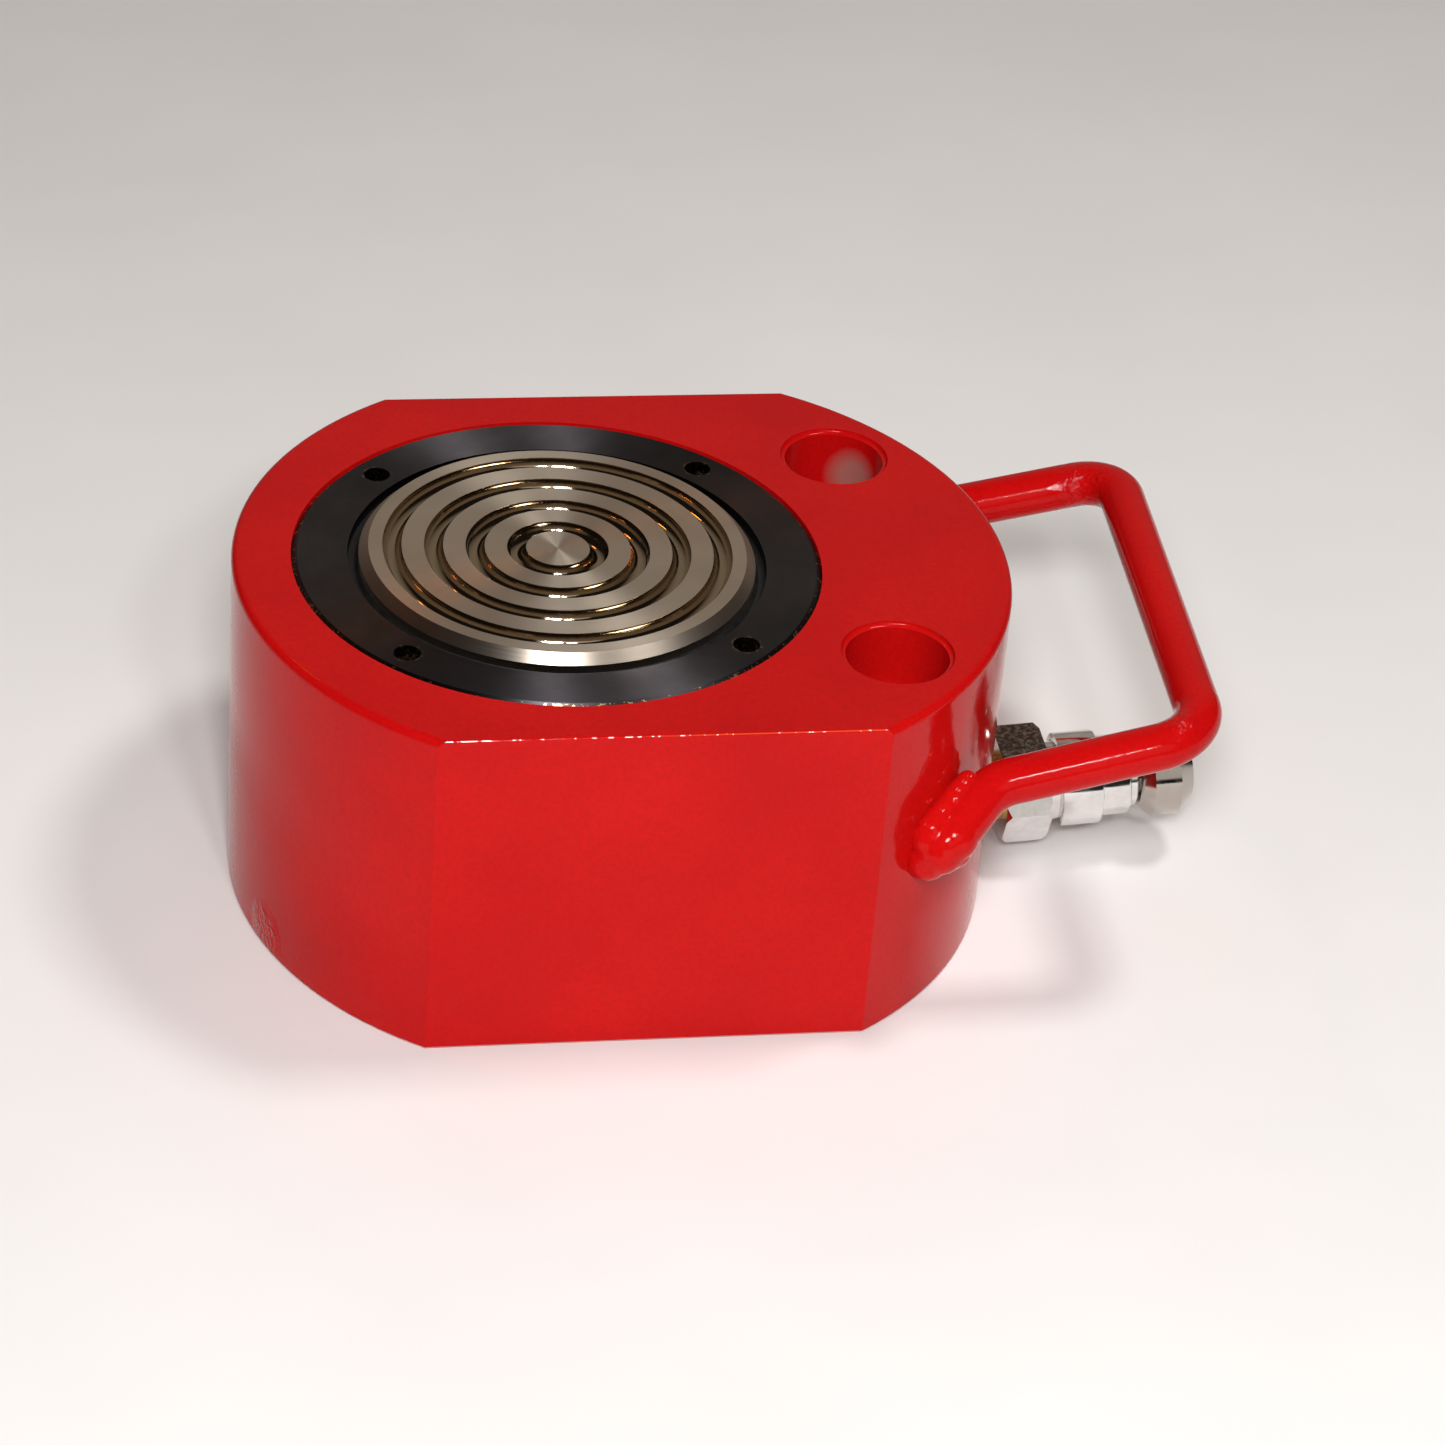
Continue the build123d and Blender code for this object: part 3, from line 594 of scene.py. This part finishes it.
def finish_mesh(piece):
    """Puts the piece's place into its mesh, so that its object sits at the origin."""
    select_only(piece)
    bpy.ops.object.transform_apply(location=True, rotation=True, scale=True)


def apply_modifier(piece, kind, **settings):
    """Adds a modifier, sets it and applies it."""
    select_only(piece)
    modifier = piece.modifiers.new(kind.lower(), kind)
    for name, value in settings.items():
        setattr(modifier, name, value)
    bpy.ops.object.modifier_apply(modifier=modifier.name)


# %% Where the front foot runs
weld_low, weld_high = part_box("handle_weld_front")
weld_middle = (weld_low + weld_high) / 2
foot_bearing = math.radians(49)
foot_rise = math.radians(29.7)
along_foot = Vector((
    math.sin(foot_bearing) * math.cos(foot_rise),
    math.cos(foot_bearing) * math.cos(foot_rise),
    math.sin(foot_rise),
))
to_wall = Vector((-math.cos(foot_bearing), math.sin(foot_bearing), 0))
below_foot = along_foot.cross(to_wall).normalized()
if below_foot.z > 0:
    below_foot = -below_foot
print("weld middle", weld_middle, "along", along_foot, "below", below_foot)


# %% Drops of filler
# Each drop is given as its place along the foot, towards the wall and below the foot, and its
# radius, in millimetres: a fat row under the foot, a thinner one towards the wall and one above
# it, and a mound that covers the foot's cut end and runs down to the wall.
under_row = [(-5.5 + 2.1 * i, -1.9 + 0.12 * i, 1.9, 3.9 - 0.12 * i) for i in range(8)]
inner_row = [(-7.5 + 2.2 * i, 0.9, 3.6, 3.4 - 0.1 * i) for i in range(7)]
upper_row = [(-6.0 + 2.2 * i, 0.6, -3.2, 2.9 - 0.12 * i) for i in range(6)]
end_mound = [
    (-2.6, -2.5, -0.6, 4.25),
    (-4.4, -2.4, -0.5, 4.5),
    (-6.0, -1.7, -0.2, 4.6),
    (-7.6, -0.9, 0.6, 4.5),
    (-9.4, 0.3, 1.8, 3.9),
    (-7.5, 0.6, -1.8, 3.6),
    (-10.4, 1.3, 3.0, 2.8),
    (-9.2, 1.2, 4.6, 2.7),
    (-11.2, 1.8, 4.3, 1.9),
]
drops = under_row + inner_row + upper_row + end_mound
spatter = [
    mm(59.2, -50.4, 56.2),
    mm(67.8, -41.3, 43.6),
    mm(60.7, -49.1, 45.5),
    mm(69.3, -38.9, 39.5),
]
print(len(drops), "drops and", len(spatter), "specks")


# %% Drops joined into one piece
chance = random.Random(11)
speck_r = mm(0.75)


def filler_drops(rows, specks):
    """Adds the drops as rough balls, with a few specks of spatter on the wall, and joins them."""
    made = []
    for along, inwards, down, radius in rows:
        along += 0.35 * chance.uniform(-1, 1)
        spot = weld_middle + along_foot * mm(along) + to_wall * mm(inwards)
        spot += below_foot * mm(down)
        drop_r = mm(radius * chance.uniform(0.93, 1.07))
        bpy.ops.mesh.primitive_ico_sphere_add(subdivisions=3, radius=drop_r, location=spot)
        made.append(bpy.context.object)
    for spot in specks:
        bpy.ops.mesh.primitive_ico_sphere_add(subdivisions=2, radius=speck_r, location=spot)
        made.append(bpy.context.object)
    clear_selection()
    for piece in made:
        piece.select_set(True)
    bpy.context.view_layer.objects.active = made[0]
    bpy.ops.object.join()
    return bpy.context.object


weld_front = filler_drops(drops, spatter)
weld_front.name = "weld_beads_front"
finish_mesh(weld_front)
print("drops joined:", len(weld_front.data.polygons), "faces")


# %% One skin over the drops
skin_step = mm(0.36)
apply_modifier(weld_front, "REMESH", mode="VOXEL", voxel_size=skin_step, use_smooth_shade=True)
apply_modifier(weld_front, "SMOOTH", factor=0.6, iterations=6)
give_finish(weld_front, enamel)
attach(weld_front, "cylinder")
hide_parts("handle_weld_front")
print("weld faces:", len(weld_front.data.polygons))


# %% The rear weld is its mirror image
# A mirror turns a mesh inside out, so its faces are turned outwards again.
select_only(weld_front)
bpy.ops.object.duplicate(linked=False)
weld_rear = bpy.context.object
weld_rear.name = "weld_beads_rear"
weld_rear.scale = (1, -1, 1)
finish_mesh(weld_rear)
bpy.ops.object.mode_set(mode="EDIT")
bpy.ops.mesh.select_all(action="SELECT")
bpy.ops.mesh.normals_make_consistent(inside=False)
bpy.ops.object.mode_set(mode="OBJECT")
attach(weld_rear, "cylinder")
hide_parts("handle_weld_rear")
print("rear weld box", [round(v, 4) for v in weld_rear.bound_box[0]])


# %% [markdown]
# ## The coupler's sleeve
#
# The sleeve is pulled back by hand to let the hose go. It is a plain plated ring with a thicker
# collar, and tumbling before the plating rounded its edges. The ring is grown from one circle:
# the circle is extruded and scaled from corner to corner round the section, and bridged to
# itself. It is made upright on the origin and tipped onto the coupler's axis at the end.

# %% A ring grown from a circle
def grow_ring(name, corners, segments):
    """A closed ring round the Z axis through (radius, height) corners in millimetres."""
    first_r, first_z = corners[0]
    clear_selection()
    bpy.ops.mesh.primitive_circle_add(
        vertices=segments, radius=mm(first_r), location=(0, 0, mm(first_z))
    )
    ring = bpy.context.object
    ring.name = name
    bpy.ops.object.transform_apply(location=True)
    bpy.ops.object.mode_set(mode="EDIT")
    bpy.ops.mesh.select_all(action="SELECT")
    for (old_r, old_z), (new_r, new_z) in zip(corners, corners[1:]):
        step = {"value": (0, 0, mm(new_z - old_z))}
        bpy.ops.mesh.extrude_region_move(TRANSFORM_OT_translate=step)
        scale = new_r / old_r
        bpy.ops.transform.resize(value=(scale, scale, 1), center_override=(0, 0, mm(new_z)))
    bpy.ops.mesh.select_all(action="DESELECT")
    bpy.ops.mesh.select_mode(type="EDGE")
    bpy.ops.mesh.select_non_manifold()
    bpy.ops.mesh.bridge_edge_loops()
    bpy.ops.mesh.select_all(action="SELECT")
    bpy.ops.mesh.normals_make_consistent(inside=False)
    bpy.ops.object.mode_set(mode="OBJECT")
    print(name, "faces:", len(ring.data.polygons))
    return ring


# %% The sleeve's section
# Heights run from the port's mouth towards the hose; the ring's outside goes up, and its
# stepped bore comes back down.
wide_bore_r, narrow_bore_r, mouth_r = 7.45, 6.25, 6.95
collar_r, nose_r = 8.85, 7.6
collar_back, collar_front, nose_front = 14.7, 22.7, 28.2
narrow_from, narrow_to = 21.5, 25.0
section = [
    (wide_bore_r, collar_back),
    (8.25, collar_back),
    (8.75, collar_back + 0.25),
    (collar_r, collar_back + 0.7),
    (collar_r, collar_front - 0.7),
    (8.75, collar_front - 0.25),
    (8.3, collar_front),
    (nose_r + 0.1, collar_front),
    (nose_r, collar_front + 0.12),
    (nose_r, nose_front - 0.6),
    (7.3, nose_front - 0.1),
    (7.2, nose_front),
    (mouth_r, nose_front),
    (mouth_r, narrow_to),
    (narrow_bore_r, narrow_to),
    (narrow_bore_r, narrow_from),
    (wide_bore_r, narrow_from),
]
sleeve = grow_ring("plated_sleeve", section, 96)


# %% Onto the coupler's axis
tip = coupler_axis.to_track_quat("Z", "Y").to_matrix().to_4x4()
sleeve.matrix_world = Matrix.Translation(port_mouth) @ tip
finish_mesh(sleeve)
bpy.ops.object.shade_smooth_by_angle(angle=math.radians(32))
give_finish(sleeve, nickel)
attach(sleeve, "sleeve")
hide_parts("coupler_sleeve")
print("sleeve box", [round(v, 4) for v in sleeve.dimensions])


# %% [markdown]
# ## The springs
#
# A solid from the CAD frame is stiff, while a real coil spring gets shorter when its part moves.
# Each spring here is a smooth copy of its CAD solid, with the wire finish, hung on the
# cylinder; the copy keeps its length.


def squeezing_spring(name, node, axis, seat):
    """A smooth copy of a spring that keeps its length; axis and seat (max or min) give the end
    that would stay, which is not used.
    """
    spring = bpy.data.objects.new(name, nodes[node].data.copy())
    scene.collection.objects.link(spring)
    finish_mesh(spring)
    bpy.ops.object.mode_set(mode="EDIT")
    bpy.ops.mesh.select_all(action="SELECT")
    bpy.ops.mesh.remove_doubles(threshold=mm(0.001))
    bpy.ops.object.mode_set(mode="OBJECT")
    bpy.ops.object.shade_smooth_by_angle(angle=math.radians(40))
    heights = [axis.dot(vertex.co) for vertex in spring.data.vertices]
    anchor = axis * seat(heights)
    give_finish(spring, wire)
    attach(spring, "cylinder")
    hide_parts(node)
    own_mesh(spring)


upright = Vector((0, 0, 1))
squeezing_spring("return_coils", "return_springs", upright, max)
squeezing_spring("sleeve_coil", "sleeve_spring", coupler_axis, min)
squeezing_spring("poppet_coil", "poppet_spring", coupler_axis, min)


# %% [markdown]
# ## The floor
#
# A large sheet of pale, matt paper lies under the cylinder. A very faint cloudiness keeps it
# from looking like a computed plane.

# %% Floor
floor_width = 8
bpy.ops.mesh.primitive_plane_add(size=floor_width, location=(0, 0, block_low.z))
floor = bpy.context.object
floor.name = "floor"
paper, add, place = start_finish("pale_matt_paper")
fibres = add("TexNoise", {"Vector": place, "Scale": grain(60), "Detail": 3})["Fac"]
paper_tone = add("ValToRGB", (fibres,), ((0.3, "#F4F3F1"), (0.7, "#F8F7F6")))["Color"]
end_finish(paper, add, Roughness=0.9, Base_Color=paper_tone)
give_finish(floor, paper)
print("floor at", floor.location)
